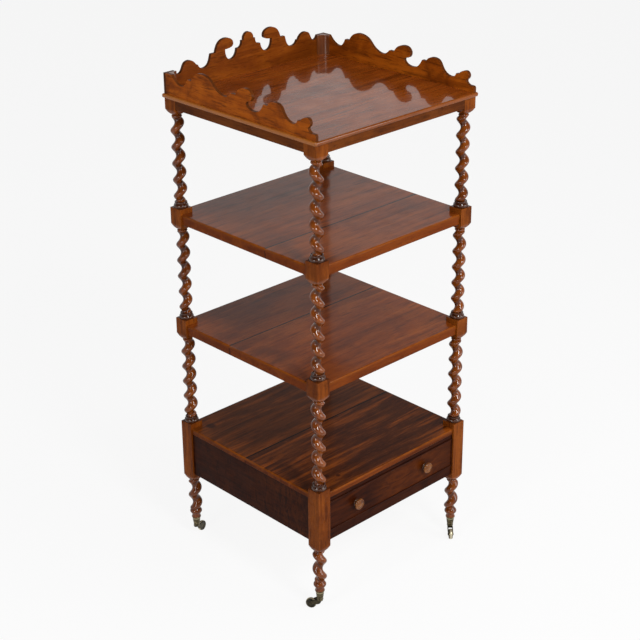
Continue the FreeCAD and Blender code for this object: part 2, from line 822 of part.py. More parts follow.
reachX = halfWidth + topOverhang
reachY = halfDepth + topOverhang
topBlank = box("TopBlank", (-reachX, reachX), (-reachY, reachY), (underTop, topSurface))
topCornered = rounded("TopCornered", topBlank, (topCornerRound, lambda bound: bound.ZLength > 1))
topRounded = rounded("TopRounded", topCornered, (topEdgeRound, lambda bound: bound.ZLength < 1e-3))
piece(cut("TopBoard", topRounded, *[feature for feature, label in galleryParts]), "top_board")

# Runners, kickers and stops inside the case


def pairOf(name, x, y, z):
    """The same strip at the left and at the right."""
    return [box(name + "Left", bothSides(x), y, z), box(name + "Right", x, y, z)]


stripY = (railBack, openY)
runnerX = (openX - runnerReach, sideInner)
runnerStrips = pairOf("Runner", runnerX, stripY, (drawerFloor - runnerHeight, drawerFloor))
guideStrips = pairOf("Guide", (openX, sideInner), stripY, (drawerFloor, drawerFloor + guideHeight))
runners = [
    fuse("Runner%d" % number, runner, guide)
    for number, (runner, guide) in enumerate(zip(runnerStrips, guideStrips))]
piece(compound("Runners", *runners), "drawer_runners")
kickers = pairOf("Kicker", runnerX, stripY, (drawerCeiling, underCaseTop))
piece(compound("Kickers", *kickers), "drawer_kickers")
frontBack = frontFace + frontThickness
stopX = (stopOffset - stopWidth / 2, stopOffset + stopWidth / 2)
stopY = (frontBack + runningGap, frontBack + runningGap + stopDepth)
stops = pairOf("Stop", stopX, stopY, (drawerFloor, drawerFloor + stopHeight))
piece(compound("Stops", *stops), "drawer_stops")

# Drawer

drawerX = openX - drawerGap
drawerLow = drawerFloor + drawerGap
drawerHigh = drawerCeiling - drawerGap
beadBack = frontFace + beadDepth
faceX = drawerX - beadWidth
faceLow = drawerLow + beadWidth
faceHigh = drawerHigh - beadWidth
sideLow = drawerFloor + runningGap
sideHigh = drawerHigh - drawerSideDrop
rearEnd = backInner - drawerRearGap
innerX = drawerX - drawerSideThickness
bottomLow = sideLow + bottomRise
bottomHigh = bottomLow + bottomThickness
knobLevel = (drawerLow + drawerHigh) / 2

sideY = (frontBack - drawerLap, rearEnd)
drawerSides = pairOf("DrawerSide", (innerX, drawerX), sideY, (sideLow, sideHigh))
drawerBack = box(
    "DrawerBack", (-innerX - drawerBackHousing, innerX + drawerBackHousing),
    (rearEnd - drawerSideThickness, rearEnd), (bottomHigh, sideHigh - drawerBackDrop))
drawerBottom = box(
    "DrawerBottom", (-innerX - bottomGroove, innerX + bottomGroove),
    (frontBack - bottomGroove, rearEnd), (bottomLow, bottomHigh))
frontRear = box("FrontRear", (-drawerX, drawerX), (beadBack, frontBack), (drawerLow, drawerHigh))
frontFaceBoard = box("FrontFace", (-faceX, faceX), (frontFace, beadBack), (faceLow, faceHigh))
frontWhole = fuse("FrontWhole", frontRear, frontFaceBoard)
frontWhole.Refine = True
towardsFront = FreeCAD.Rotation(alongX, 90)


def knobHole(name, place):
    hole = document.addObject("Part::Cylinder", name)
    bind(hole, "Radius", knobSpigotRadius + knobClearance)
    bind(hole, "Height", frontThickness)
    hole.Placement = FreeCAD.Placement(Vector(0, 0, 0), towardsFront)
    bind(hole, "Placement.Base.x", place)
    bind(hole, "Placement.Base.y", frontBack)
    bind(hole, "Placement.Base.z", knobLevel)
    return hole


knobHoles = [knobHole("LeftKnobHole", leftKnobPlace), knobHole("RightKnobHole", rightKnobPlace)]
piece(cut("DrawerFront", frontWhole, drawerBottom, *drawerSides, *knobHoles), "drawer_front")
piece(drawerBack, "drawer_back")
piece(drawerBottom, "drawer_bottom")
for side, label in zip(drawerSides, ("drawer_left_side", "drawer_right_side")):
    piece(cut(side.Name + "Grooved", side, drawerBottom, drawerBack), label)


def bead(name, x, z):
    """A strip let into the edge of the drawer front, its nose rounded."""
    nose = frontFace - beadProud
    strip = box(name + "Strip", x, (nose, beadBack), z)
    long = 50
    return rounded(
        name, strip,
        (beadWidth * 0.4, lambda bound: near(bound.YMax, nose) and bound.DiagonalLength > long))


beads = [
    bead("LeftBead", (-drawerX, -faceX), (drawerLow, drawerHigh)),
    bead("RightBead", (faceX, drawerX), (drawerLow, drawerHigh)),
    bead("LowerBead", (-faceX, faceX), (drawerLow, faceLow)),
    bead("UpperBead", (-faceX, faceX), (faceHigh, drawerHigh))]
piece(compound("CockBead", *beads), "cock_bead")


def domeVia(edge, low, high):
    """A point half way up a dome whose ball is centred on the axis."""
    ball = (edge ** 2 + (high - low) ** 2) / (2 * (high - low))
    across = edge / 2
    return across, high - ball + math.sqrt(ball ** 2 - across ** 2)


def knob(name, place, label):
    """A turned knob: flange, waist, rim ring, groove and low dome, with a spigot behind."""
    rim = float(knobRadius)
    reach = float(knobReach)
    pen = Pen(0, -frontThickness)
    pen.line(knobSpigotRadius, -frontThickness)
    pen.line(knobSpigotRadius, 0)
    pen.line(knobWaistRadius + 1.5, 0)
    pen.arc(knobWaistRadius + 2, 0.8, knobWaistRadius + 1.2, 1.6)
    pen.arc(knobWaistRadius, 0.27 * reach, rim - 3.5, 0.52 * reach)
    pen.arc(rim, 0.72 * reach, rim - 1.4, reach - 1.6)
    pen.arc(rim - 2.4, reach - 1.1, rim - 3.6, reach - 2.4)
    pen.arc(*domeVia(rim - 3.6, reach - 2.4, reach), 0, reach)
    feature = bodyTurned(name, pen)
    feature.Placement = FreeCAD.Placement(Vector(0, 0, 0), towardsFront)
    bind(feature, "Placement.Base.x", place)
    bind(feature, "Placement.Base.y", frontFace)
    bind(feature, "Placement.Base.z", knobLevel)
    return piece(feature, label)


knob("LeftKnob", leftKnobPlace, "left_knob")
knob("RightKnob", rightKnobPlace, "right_knob")

# Casters: a cup on the foot, a horn that swivels under it and a wheel on its axle


def casterCup(name):
    """Tapered brass cup with a rolled lip and a foot bead, open at the top for the peg."""
    low, high = float(cupBottom), float(cupTop)
    floor = low + float(cupFloor)
    wall = float(cupWall)
    rim = float(cupTopRadius + cupLip)
    pen = Pen(stemRadius + stemClearance, low)
    pen.line(cupBottomRadius, low)
    pen.arc(cupBottomRadius + cupLip, low + 1.2, cupRadiusAt(low + 2.4), low + 2.4)
    pen.line(cupRadiusAt(high - 3), high - 3)
    pen.arc(rim, high - 1.5, cupTopRadius, high)
    pen.line(float(cupTopRadius) - wall, high)
    pen.line(float(cupRadiusAt(floor)) - wall, floor)
    pen.line(stemRadius + stemClearance, floor)
    return bodyTurned(name, pen)


def casterHorn(name):
    """Swivel plate with its riveted stem, two cheeks and the axle, trailing along +X."""
    axleLevel = wheelRadius
    plateTop = cupBottom - swivelGap
    plateLow = plateTop - swivelPlate
    headLow = cupBottom + cupFloor + swivelGap
    cheekIn = wheelWidth / 2 + cheekGap
    cheekOut = cheekIn + cheekThickness
    plate = cylinder(name + "Plate", swivelPlateRadius, plateLow, plateTop)
    stem = cylinder(name + "Stem", stemRadius, plateLow, headLow)
    head = cylinder(name + "Head", stemHeadRadius, headLow, headLow + stemHeadHeight)
    bridge = box(
        name + "Bridge", (-swivelPlateRadius * 0.6, wheelTrail * 0.5), (-cheekOut, cheekOut),
        (plateLow, plateTop))
    trail, level, hub = float(wheelTrail), float(axleLevel), float(hubRadius)
    root = -float(swivelPlateRadius) * 0.6
    pen = Pen(root, plateTop)
    pen.curve((root + 1.5, float(plateTop) - 7), (trail * 0.45, level + 1), (trail - hub, level))
    pen.arc(trail, level - hub, trail + hub, level)
    pen.curve((trail * 0.95, level + 7), (trail * 0.5, plateTop))
    cheeks = []
    for side in (-1, 1):
        cheek = sawn(name + ("Near" if side < 0 else "Far"), twinPen(pen), alongY, cheekThickness)
        bind(cheek, "Placement.Base.y", cheekIn if side > 0 else -cheekOut)
        cheeks.append(cheek)
    axle = document.addObject("Part::Cylinder", name + "Axle")
    bind(axle, "Radius", axleRadius)
    bind(axle, "Height", 2 * cheekOut)
    rivets = document.addObject("Part::Cylinder", name + "Rivets")
    bind(rivets, "Radius", rivetRadius)
    bind(rivets, "Height", 2 * (cheekOut + rivetHeight))
    for bar, half in ((axle, cheekOut), (rivets, cheekOut + rivetHeight)):
        bar.Placement = FreeCAD.Placement(Vector(0, 0, 0), FreeCAD.Rotation(alongX, -90))
        bind(bar, "Placement.Base.x", wheelTrail)
        bind(bar, "Placement.Base.y", -half)
        bind(bar, "Placement.Base.z", axleLevel)
    between = box(
        name + "Between", (wheelTrail - hubRadius, wheelTrail + hubRadius), (-cheekIn, cheekIn),
        (axleLevel - hubRadius, axleLevel + hubRadius))
    heads = cut(name + "RivetHeads", rivets, between)
    return fuse(name, plate, stem, head, bridge, *cheeks, axle, heads)


def twinPen(pen):
    """The same strokes again, for a second sketch."""
    twin = Pen(pen.first.x, pen.first.y)
    twin.strokes = [stroke.copy() for stroke in pen.strokes]
    twin.last = pen.last
    return twin


def casterWheel(name):
    """Crowned wheel with dished sides and a bore, about its own axis."""
    half = float(wheelWidth) / 2
    radius = float(wheelRadius)
    crown = float(wheelCrown)
    bore = float(axleRadius + axleClearance)
    dish = 0.9
    pen = Pen(bore, -half)
    pen.line(bore + 2.2, -half)
    pen.line(bore + 2.8, dish - half)
    pen.line(radius - 3.4, dish - half)
    pen.line(radius - 2.6, -half)
    pen.line(radius - crown - 0.6, -half)
    pen.arc(radius, 0, radius - crown - 0.6, half)
    pen.line(radius - 2.6, half)
    pen.line(radius - 3.4, half - dish)
    pen.line(bore + 2.8, half - dish)
    pen.line(bore + 2.2, half)
    pen.line(bore, half)
    return bodyTurned(name, pen)


for corner in corners:
    turn = FreeCAD.Rotation(alongZ, corner.heading)
    onAxle = turn.multiply(FreeCAD.Rotation(alongX, -90))
    heading = math.radians(corner.heading)
    parts = (
        (casterCup(corner.name + "Cup"), "_caster_cup", FreeCAD.Rotation(), 0, 0),
        (casterHorn(corner.name + "Horn"), "_caster_horn", turn, 0, 0),
        (casterWheel(corner.name + "Wheel"), "_caster_wheel", onAxle, wheelTrail, wheelRadius))
    for feature, label, rotation, trail, level in parts:
        feature.Placement = FreeCAD.Placement(Vector(0, 0, 0), rotation)
        bind(feature, "Placement.Base.x", corner.sideX * postX + trail * math.cos(heading))
        bind(feature, "Placement.Base.y", corner.sideY * postY + trail * math.sin(heading))
        bind(feature, "Placement.Base.z", level)
        piece(feature, corner.label + label)

# Everything is recomputed, looked over and written

document.recompute()
for item in document.Objects:
    if "Invalid" in item.State or "Error" in item.State:
        raise RuntimeError("%s could not be built" % item.Label)
for item in pieces:
    shape = item.Shape
    if shape.isNull() or not shape.isValid() or shape.Volume <= 0:
        raise RuntimeError("%s has no sound solid" % item.Label)

os.makedirs("parts", exist_ok=True)
for item in pieces:
    item.Shape.exportStep("parts/%s.step" % item.Label)
print(len(pieces), "pieces written")
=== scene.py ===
import math
import json

import bpy
from mathutils import Matrix, Vector

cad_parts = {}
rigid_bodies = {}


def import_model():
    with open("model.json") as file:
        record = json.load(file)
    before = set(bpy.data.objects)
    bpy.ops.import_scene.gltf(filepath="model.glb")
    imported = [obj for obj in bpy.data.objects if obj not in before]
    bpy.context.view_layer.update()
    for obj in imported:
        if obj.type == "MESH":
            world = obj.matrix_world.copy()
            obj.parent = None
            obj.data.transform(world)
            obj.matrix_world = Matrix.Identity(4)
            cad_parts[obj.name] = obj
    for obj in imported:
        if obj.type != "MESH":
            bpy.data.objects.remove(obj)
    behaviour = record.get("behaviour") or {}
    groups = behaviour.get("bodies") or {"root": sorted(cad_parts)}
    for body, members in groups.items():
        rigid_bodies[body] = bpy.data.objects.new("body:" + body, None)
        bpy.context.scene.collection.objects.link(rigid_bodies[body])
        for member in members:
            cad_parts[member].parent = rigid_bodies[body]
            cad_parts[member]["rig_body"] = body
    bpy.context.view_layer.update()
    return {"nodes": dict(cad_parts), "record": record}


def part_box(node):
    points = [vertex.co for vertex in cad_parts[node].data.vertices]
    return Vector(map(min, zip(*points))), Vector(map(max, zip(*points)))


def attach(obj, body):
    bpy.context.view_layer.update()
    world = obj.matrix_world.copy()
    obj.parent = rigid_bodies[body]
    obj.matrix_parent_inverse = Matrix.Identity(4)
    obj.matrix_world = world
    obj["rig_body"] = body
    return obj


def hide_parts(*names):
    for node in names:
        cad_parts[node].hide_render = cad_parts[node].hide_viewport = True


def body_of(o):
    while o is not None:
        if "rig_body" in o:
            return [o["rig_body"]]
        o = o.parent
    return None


# Tiered shelf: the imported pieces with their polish, grain, wear and old brass

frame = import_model()
nodes = frame["nodes"]
print("frame loaded,", len(nodes), "nodes")

corners = ("front_left", "front_right", "back_left", "back_right")


# One material under construction, with short words for the nodes used often
class Recipe:

    def __init__(self, name):
        self.material = bpy.data.materials.new(name)
        self.material.use_nodes = True
        self.tree = self.material.node_tree
        self.shader = self.tree.nodes["Principled BSDF"]

    def add(self, kind, **settings):
        made = self.tree.nodes.new(kind)
        for key, value in settings.items():
            setattr(made, key, value)
        return made

    def join(self, source, target):
        self.tree.links.new(source, target)

    def place(self, socket, value):
        if hasattr(value, "is_linked"):
            self.join(value, socket)
        else:
            socket.default_value = value

    def position(self):
        return self.add("ShaderNodeTexCoord").outputs["Object"]

    def facing(self):
        return self.add("ShaderNodeTexCoord").outputs["Normal"]

    def axes(self, vector):
        made = self.add("ShaderNodeSeparateXYZ")
        self.join(vector, made.inputs[0])
        return made.outputs

    def mapped(self, vector, scale=(1, 1, 1), shift=(0, 0, 0)):
        made = self.add("ShaderNodeMapping")
        self.join(vector, made.inputs["Vector"])
        made.inputs["Scale"].default_value = scale
        made.inputs["Location"].default_value = shift
        return made.outputs["Vector"]

    def noise(self, vector, scale, detail=4, roughness=0.55, distortion=0):
        made = self.add("ShaderNodeTexNoise")
        self.join(vector, made.inputs["Vector"])
        settings = {"Scale": scale, "Detail": detail, "Roughness": roughness, "Distortion": distortion}
        for key, value in settings.items():
            made.inputs[key].default_value = value
        return made.outputs["Fac"]

    def ramp(self, value, *stops):
        made = self.add("ShaderNodeValToRGB")
        self.join(value, made.inputs["Fac"])
        band = made.color_ramp
        while len(band.elements) < len(stops):
            band.elements.new(0.5)
        for element, (spot, colour) in zip(band.elements, stops):
            element.position = spot
            element.color = (*colour, 1)
        return made.outputs["Color"]

    def span(self, value, low, high, toLow=0.0, toHigh=1.0):
        made = self.add("ShaderNodeMapRange", interpolation_type="SMOOTHSTEP")
        self.join(value, made.inputs["Value"])
        for key, number in (("From Min", low), ("From Max", high), ("To Min", toLow), ("To Max", toHigh)):
            made.inputs[key].default_value = number
        return made.outputs["Result"]

    def calc(self, how, first, second=0.0):
        made = self.add("ShaderNodeMath", operation=how)
        self.place(made.inputs[0], first)
        self.place(made.inputs[1], second)
        return made.outputs["Value"]

    def mix(self, share, first, second, how="MIX"):
        made = self.add("ShaderNodeMix", data_type="RGBA", blend_type=how)
        self.place(made.inputs[0], share)
        for socket, value in ((made.inputs[6], first), (made.inputs[7], second)):
            self.place(socket, (*value, 1) if isinstance(value, tuple) else value)
        return made.outputs[2]

    def between(self, value, low, high, soft):
        rise = self.span(value, low - soft, low + soft)
        return self.calc("MULTIPLY", rise, self.span(value, high - soft, high + soft, 1, 0))

    def bump(self, height, strength, distance):
        made = self.add("ShaderNodeBump")
        self.join(height, made.inputs["Height"])
        made.inputs["Strength"].default_value = strength
        made.inputs["Distance"].default_value = distance
        return made.outputs["Normal"]

    # 1 close to a plane across one axis, falling to 0 at the given distance
    def nearPlane(self, vector, axis, level, reach):
        away = self.calc("ABSOLUTE", self.calc("SUBTRACT", self.axes(vector)[axis], level))
        return self.span(away, reach * 0.45, reach, 1, 0)

    # 1 close to a point, falling to 0 at the given distance
    def nearPoint(self, vector, point, reach):
        made = self.add("ShaderNodeVectorMath", operation="DISTANCE")
        self.join(vector, made.inputs[0])
        made.inputs[1].default_value = point
        return self.span(made.outputs["Value"], reach * 0.5, reach, 1, 0)


grainAlong = {"x": (1, 11, 11), "y": (11, 1, 11), "z": (11, 11, 1)}


# Polished wood: bands and fibres along the grain, cloudy patches, darker figure, smears in the polish
def wood(name, look, extra=None):
    r = Recipe(name)
    here = r.position()
    shift = look.get("shift", (0, 0, 0))
    along = r.mapped(here, grainAlong[look["grain"]], shift)
    free = r.mapped(here, (1, 1, 1), shift)
    bands = r.noise(along, look.get("bands", 3.4), 5, 0.6, look.get("figure", 0.8))
    tone = r.ramp(bands, (0.28, look["dark"]), (0.48, look["middle"]), (0.70, look["light"]))
    clouds = r.noise(free, look.get("cloud", 6), 4, 0.6, 0.6)
    tone = r.mix(r.span(clouds, 0.46, 0.72, 0, look.get("glow", 0.4)), tone, look["warm"])
    tone = r.mix(r.span(clouds, 0.50, 0.28, 0, look.get("shade", 0.55)), tone, look["dark"])
    streaks = r.noise(along, look.get("bands", 3.4) * 4.5, 5, 0.68, 0.4)
    tone = r.mix(r.span(streaks, 0.50, 0.70, 0, look.get("streak", 0.55)), tone, look["deep"])
    tone = r.mix(r.span(streaks, 0.44, 0.28, 0, look.get("gleam", 0.25)), tone, look["light"])
    fibres = r.noise(along, look.get("bands", 3.4) * 14, 4, 0.7)
    tone = r.mix(r.span(fibres, 0.52, 0.72, 0, look.get("fibre", 0.5)), tone, look["deep"])
    tone = r.mix(r.span(fibres, 0.46, 0.30, 0, look.get("gleam", 0.25)), tone, look["light"])
    if extra:
        tone = extra(r, here, tone)
    r.join(tone, r.shader.inputs["Base Color"])
    smears = r.noise(free, 24, 4)
    rough = look.get("rough", 0.34)
    r.join(r.span(smears, 0.3, 0.75, rough - 0.05, rough + 0.08), r.shader.inputs["Roughness"])
    r.shader.inputs["IOR"].default_value = 1.5
    r.shader.inputs["Specular IOR Level"].default_value = look.get("gloss", 0.03)
    r.shader.inputs["Coat Weight"].default_value = look.get("coat", 0.06)
    r.shader.inputs["Coat Roughness"].default_value = look.get("coatRough", 0.1)
    dents = r.noise(free, 55, 3)
    relief = r.calc("SUBTRACT", r.calc("MULTIPLY", dents, 0.8), r.calc("MULTIPLY", fibres, 0.5))
    r.join(r.bump(relief, look.get("relief", 0.25), 0.0005), r.shader.inputs["Normal"])
    waves = r.calc("ADD", r.calc("MULTIPLY", dents, 0.4), r.noise(along, 9, 2))
    r.join(r.bump(waves, look.get("wave", 0.1), 0.0006), r.shader.inputs["Coat Normal"])
    return r.material


# Face of a flat board against its sawn edge, with a light arris between them that is a painted highlight on
# the rounded edge
def sawnEdgesWithHighlight(axis, edge, arris):
    def shown(r, here, tone):
        flat = r.calc("ABSOLUTE", r.axes(r.facing())[axis])
        tone = r.mix(r.span(flat, 0.45, 0.15, 0, 0.85), tone, edge)
        # painted highlight: the rounded arris between face and edge is lighter
        return r.mix(r.calc("MULTIPLY", r.between(flat, 0.55, 0.93, 0.04), 0.75), tone, arris)
    return shown


def dress(names, material):
    for name in names:
        piece = nodes[name]
        piece.data.materials.clear()
        piece.data.materials.append(material)


# Small rounds on the sawn edges, so that they catch the light and seams show as fine grooves
def easeEdges(names, width):
    for name in names:
        piece = nodes[name]
        weld = piece.modifiers.new("weld", "WELD")
        weld.merge_threshold = 0.00002
        ease = piece.modifiers.new("ease", "BEVEL")
        ease.width = width
        ease.segments = 2
        ease.limit_method = "ANGLE"
        ease.angle_limit = math.radians(40)


# Shelf boards: each tier its own timber, a dark seam between the two boards, a warm edge that is partly wear
# and partly a painted highlight, and painted shade on the upright faces

shelf = {
    "deep": (0.022, 0.0045, 0.0014),
    "dark": (0.091, 0.0168, 0.0023),
    "middle": (0.196, 0.0392, 0.0043),
    "light": (0.289, 0.0672, 0.0072),
    "warm": (0.333, 0.0832, 0.0077),
    # warm edge colour, partly wear and partly a painted highlight
    "edge": (0.240, 0.0620, 0.0070),
    "seam": (0.003, 0.001, 0.0005),
    "seamWidth": 0.0030,
    "edgeWidth": 0.0035,
    "rubDrop": 0.0022,
    "rubWidth": 0.0042,
    "ease": 0.0009,
    "coat": 0.52}

tiers = (
    {"name": "second_shelf", "shift": (5, 2, 1), "coatRough": 0.12, "coat": 0.50},
    {"name": "third_shelf", "shift": (1, 7, 3), "coatRough": 0.14, "coat": 0.48},
    {"name": "case_top", "shift": (9, 4, 6), "coatRough": 0.17, "coat": 0.24})
rearShift = 3.3

# The top of the case is much darker, its front board most of all, as painted shade under the tier above, and
# has three stains
caseShadeTones = {
    "front": {"middle": (0.062, 0.0140, 0.0024), "dark": (0.030, 0.0058, 0.0012),
              "warm": (0.100, 0.0260, 0.0036)},
    "rear": {"middle": (0.104, 0.0260, 0.0036), "dark": (0.052, 0.0120, 0.0022),
             "warm": (0.130, 0.0340, 0.0050)}}
caseSpots = (
    ((-0.168, -0.188, 0.326), 0.009),
    ((-0.146, -0.205, 0.326), 0.007),
    ((-0.205, 0.196, 0.326), 0.016))


def shelfExtra(seam, outer, top, coat, spots=()):
    # seam, stains and worn edges, together with a painted highlight on the edges and painted shade on the
    # upright faces
    def worn(r, here, tone):
        line = r.nearPlane(here, "Y", seam, shelf["seamWidth"])
        tone = r.mix(line, tone, shelf["seam"])
        patchy = r.noise(r.mapped(here, (3, 3, 1)), 7, 3)
        # warm patchy band along the top of the outer edges: partly wear, partly a painted highlight where the
        # rounded edge catches the light
        wearAndHighlight = r.nearPlane(here, "Z", top - shelf["rubDrop"], shelf["rubWidth"])
        wearAndHighlight = r.calc("MULTIPLY", wearAndHighlight, r.span(patchy, 0.3, 0.6, 0.35, 1))
        onEdge = r.calc("MAXIMUM", r.nearPlane(here, "Y", outer["y"], shelf["edgeWidth"]),
                        r.calc("MAXIMUM", r.nearPlane(here, "X", outer["left"], shelf["edgeWidth"]),
                               r.nearPlane(here, "X", outer["right"], shelf["edgeWidth"])))
        tone = r.mix(r.calc("MULTIPLY", wearAndHighlight, onEdge), tone, shelf["edge"])
        for spot, reach in spots:
            tone = r.mix(r.calc("MULTIPLY", r.nearPoint(here, spot, reach), 0.8), tone, shelf["deep"])
        # painted shade: the upright faces of the board are darker than its top
        flat = r.calc("ABSOLUTE", r.axes(r.facing())["Z"])
        tone = r.mix(r.span(flat, 0.8, 0.3, 0, 0.55), tone, shelf["dark"])
        r.join(r.span(flat, 0.5, 0.95, 0.03, coat), r.shader.inputs["Coat Weight"])
        return tone
    return worn


for number, tier in enumerate(tiers):
    for side in ("front", "rear"):
        board = "%s_%s_board" % (tier["name"], side)
        low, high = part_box(board)
        outerY = low.y if side == "front" else high.y
        seam = high.y if side == "front" else low.y
        look = dict(shelf, grain="x", coat=tier["coat"], coatRough=tier["coatRough"], shift=tier["shift"])
        spots = ()
        if side == "rear":
            look["shift"] = tuple(value + rearShift for value in tier["shift"])
        if tier["name"] == "case_top":
            # painted shade: darker tones for the case top under the tier above
            look.update(caseShadeTones[side])
            spots = caseSpots
        outer = {"y": outerY, "left": low.x, "right": high.x}
        extra = shelfExtra(seam, outer, high.z, tier["coat"], spots)
        material = wood("%sTier%dWood" % (side, number + 2), look, extra)
        dress([board], material)
        easeEdges([board], shelf["ease"])

# Top board: high polish that mirrors the gallery, a golden line along its edge that is partly wear and partly
# a painted highlight

topLook = dict(
    shelf, grain="x", shift=(3, 1, 7), rough=0.26, coatRough=0.035, wave=0.06, relief=0.15,
    # side: the golden edge line colour, partly wear and partly a painted highlight
    side=(0.34, 0.110, 0.014), sideWidth=0.0065, front=(0.16, 0.045, 0.007), frontWidth=0.005)
topLow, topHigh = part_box("top_board")


def topExtra(r, here, tone):
    patchy = r.noise(r.mapped(here, (2, 2, 1)), 9, 3)
    left = r.nearPlane(here, "X", topLow.x, topLook["sideWidth"])
    right = r.nearPlane(here, "X", topHigh.x, topLook["sideWidth"])
    # golden patchy line along the left and right edges: partly wear, partly a painted highlight
    rim = r.calc("MULTIPLY", r.calc("MAXIMUM", left, right), r.span(patchy, 0.3, 0.55, 0.6, 1))
    tone = r.mix(r.calc("MULTIPLY", rim, 0.8), tone, topLook["side"])
    front = r.nearPlane(here, "Y", topLow.y, topLook["frontWidth"])
    return r.mix(r.calc("MULTIPLY", front, 0.6), tone, topLook["front"])


dress(["top_board"], wood("topWood", topLook, topExtra))

# Rails under the top

apron = dict(
    shelf, deep=(0.020, 0.0044, 0.0008), dark=(0.046, 0.0105, 0.0017), middle=(0.099, 0.0237, 0.0032),
    light=(0.152, 0.0396, 0.0055), warm=(0.185, 0.0495, 0.0060), coatRough=0.16, rough=0.4, coat=0.03)
dress(["front_apron", "back_apron"], wood("apronWood", dict(apron, grain="x")))
dress(["left_apron", "right_apron"], wood("sideApronWood", dict(apron, grain="y")))
easeEdges(["front_apron", "back_apron", "left_apron", "right_apron"], 0.0006)

# Gallery: lighter, golden brown, its sawn edges darker with a thin painted highlight along the arris

gallery = dict(
    shelf, deep=(0.052, 0.0104, 0.0012), dark=(0.123, 0.0248, 0.0021), middle=(0.285, 0.0608, 0.0036),
    light=(0.399, 0.0960, 0.0066), warm=(0.456, 0.1160, 0.0072), coatRough=0.15, rough=0.38, fibre=0.7,
    glow=0.5, shade=0.9, streak=0.75, cloud=13, coat=0.03)
# dark sawn edge colour, then the colour of the painted highlight on the arris
sawn = ((0.050, 0.0140, 0.0030), (0.420, 0.1500, 0.0250))
backLook = dict(
    gallery, grain="x", middle=(0.140, 0.0300, 0.0025), light=(0.220, 0.0520, 0.0045),
    warm=(0.240, 0.0600, 0.0045))
dress(["back_gallery"], wood("galleryWood", backLook, sawnEdgesWithHighlight("Y", *sawn)))
sideWood = wood("sideGalleryWood", dict(gallery, grain="y"), sawnEdgesWithHighlight("X", *sawn))
dress(["left_gallery", "right_gallery"], sideWood)
blockLook = dict(
    gallery, grain="z", middle=(0.120, 0.0340, 0.0100), light=(0.200, 0.0700, 0.0250),
    warm=(0.170, 0.0480, 0.0120), coat=0.7, coatRough=0.1)
dress(["left_gallery_block", "right_gallery_block"], wood("galleryBlockWood", blockLook))
easeEdges(["back_gallery", "left_gallery", "right_gallery"], 0.0007)

# Posts: a rounder turning takes the place of each section, one stack of rings up its axis.
# Blocks are squares turned down at the shoulder, ropes are ovals that lie off the axis.
# Lengths in millimetres, creases and starts in degrees, pitches and starts from leg to upper section

turning = {
    "points": 48,
    "centre": (236.5, 233.5),
    "half": 18.5,
    "offset": 5.2,
    "slim": (11.4, 11.8),
    "stout": (12.4, 12.8),
    "end": 10.5,
    "fade": 7.0,
    "rise": 1.4,
    "arris": 0.8,
    "lap": 0.6,
    "baseTall": 14.4,
    "collarDrop": 18.5,
    "shoulderDrop": 14,
    "blockRadius": 26.6,
    "crownRadius": 25.6,
    "creases": 38,
    "peg": (50.0, 56, 8.0),
    "foot": ((56, 12), (58, 11.2), (61.5, 10.7), (65, 11.2), (67, 12), (68.5, 14), (71, 15.4), (73.5, 15.6),
             (76, 14.8), (78.5, 12.8), (80, 11.5)),
    "base": ((0, 16.4), (1.4, 17.5), (4, 18), (6.6, 17.5), (8, 16.4), (8, 14.8), (9.2, 14), (10.5, 14.4),
             (11.2, 15.1), (12.8, 15.4), (14.4, 14.9), (15, 13.8)),
    "collar": ((0, 11.3), (0.9, 12.1), (2.25, 12.4), (3.6, 12.1), (4.5, 11.3)),
    "shoulder": ((0, 10.5), (2.4, 11.2), (4, 13), (4, 14.2), (6, 17.6), (8.5, 20.8), (11, 23.6), (14, 26.6))}

pitches = (44, 41.4, 41.2, 40.5)
twists = {
    "front_left": (-1, (86, 40, -8, 36)),
    "front_right": (1, (58, 194, 181, 145)),
    "back_left": (1, (159, 3, 17, 25)),
    "back_right": (-1, (270, 240, 154, 154))}
sections = (
    {"name": "_leg", "foot": 80.0, "block": (183.0, 340.0), "oval": "stout"},
    {"name": "_lower_post", "foot": 340.0, "block": (587.0, 629.0), "oval": "stout"},
    {"name": "_middle_post", "foot": 629.0, "block": (877.0, 919.0), "oval": "slim"},
    {"name": "_upper_post", "foot": 919.0, "block": (1161.0, 1188.0), "oval": "slim"})


def roundRing(z, radius):
    count = turning["points"]
    return [(radius * math.cos(2 * math.pi * k / count), radius * math.sin(2 * math.pi * k / count), z)
            for k in range(count)]


# A square with its corners turned down to a radius
def squareRing(z, radius, half):
    count = turning["points"]
    ring = []
    for k in range(count):
        angle = 2 * math.pi * k / count
        reach = min(radius, half / max(abs(math.cos(angle)), abs(math.sin(angle))))
        ring.append((reach * math.cos(angle), reach * math.sin(angle), z))
    return ring


def ropeRings(low, high, start, hand, pitch, oval):
    count = turning["points"]
    steps = int((high - low) / turning["rise"])
    rings = []
    for step in range(steps + 1):
        z = low + (high - low) * step / steps
        swell = math.sin(min(1.0, min(z - low, high - z) / turning["fade"]) * math.pi / 2)
        twist = math.radians(start) + hand * 2 * math.pi * (z - low) / pitch
        ring = []
        for k in range(count):
            angle = 2 * math.pi * k / count - twist
            across, along = (turning["end"] * (1 - swell) + size * swell for size in oval)
            out = turning["offset"] * swell + across * math.cos(angle)
            side = along * math.sin(angle)
            ring.append((out * math.cos(twist) - side * math.sin(twist),
                         out * math.sin(twist) + side * math.cos(twist), z))
        rings.append(ring)
    return rings


